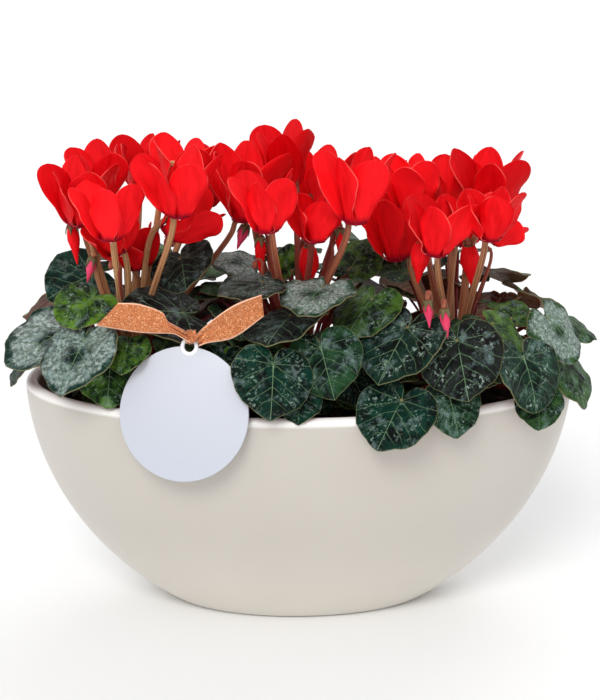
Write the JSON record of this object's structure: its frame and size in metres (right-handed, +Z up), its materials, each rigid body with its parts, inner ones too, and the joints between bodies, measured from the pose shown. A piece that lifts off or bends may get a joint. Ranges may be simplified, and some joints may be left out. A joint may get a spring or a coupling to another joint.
{
  "type": "potted cyclamen",
  "caption": "Potted cyclamen: red reflexed flowers over marbled heart-shaped leaves in an oval ceramic bowl, with a ribbon and a blank round tag at its rim.",
  "frame": {"origin": "centre of the bowl's flat foot", "axes": "+X along the bowl's long side, -Y towards its front with the tag, +Z up"},
  "size_m": [0.388, 0.2135, 0.3191],
  "materials": {
    "ceramic": "smooth matte cream glaze",
    "soil": "crumbly damp potting soil",
    "stems": "satin brown-red stalks",
    "leaves": "glossy dark green marbled leaf",
    "petals": "soft satin scarlet petal",
    "red_buds": "soft satin",
    "pink_buds": "soft satin",
    "tag": "smooth satin",
    "ribbon": "glittering copper-coloured ribbon"
  },
  "bodies": {
    "root": {"pot": "ceramic", "soil": "soil", "corm_left": "stems", "corm_centre": "stems", "corm_right": "stems", "leaves_left": "leaves", "leaves_centre": "leaves", "leaves_right": "leaves", "bloom_left_1": "petals", "bloom_left_2": "petals", "bloom_left_3": "petals", "bloom_left_4": "petals", "bloom_left_5": "petals", "bloom_left_6": "petals", "bloom_left_7": "petals", "bloom_left_8": "petals", "bloom_left_9": "petals", "bloom_left_10": "petals", "bloom_centre_1": "petals", "bloom_centre_2": "petals", "bloom_centre_3": "petals", "bloom_centre_4": "petals", "bloom_centre_5": "petals", "bloom_centre_6": "petals", "bloom_right_1": "petals", "bloom_right_2": "petals", "bloom_right_3": "petals", "bloom_right_4": "petals", "bloom_right_5": "petals", "bloom_right_6": "petals", "bloom_right_7": "petals", "bloom_right_8": "petals", "bloom_right_9": "petals", "bud_left_1": "red_buds", "bud_left_2": "pink_buds", "bud_left_3": "pink_buds", "bud_centre_1": "red_buds", "bud_centre_2": "red_buds", "bud_centre_3": "red_buds", "bud_right_1": "red_buds", "bud_right_2": "red_buds", "bud_right_3": "pink_buds", "bud_right_4": "pink_buds", "tag": "tag", "ribbon": "ribbon"}
  },
  "joints": []
}
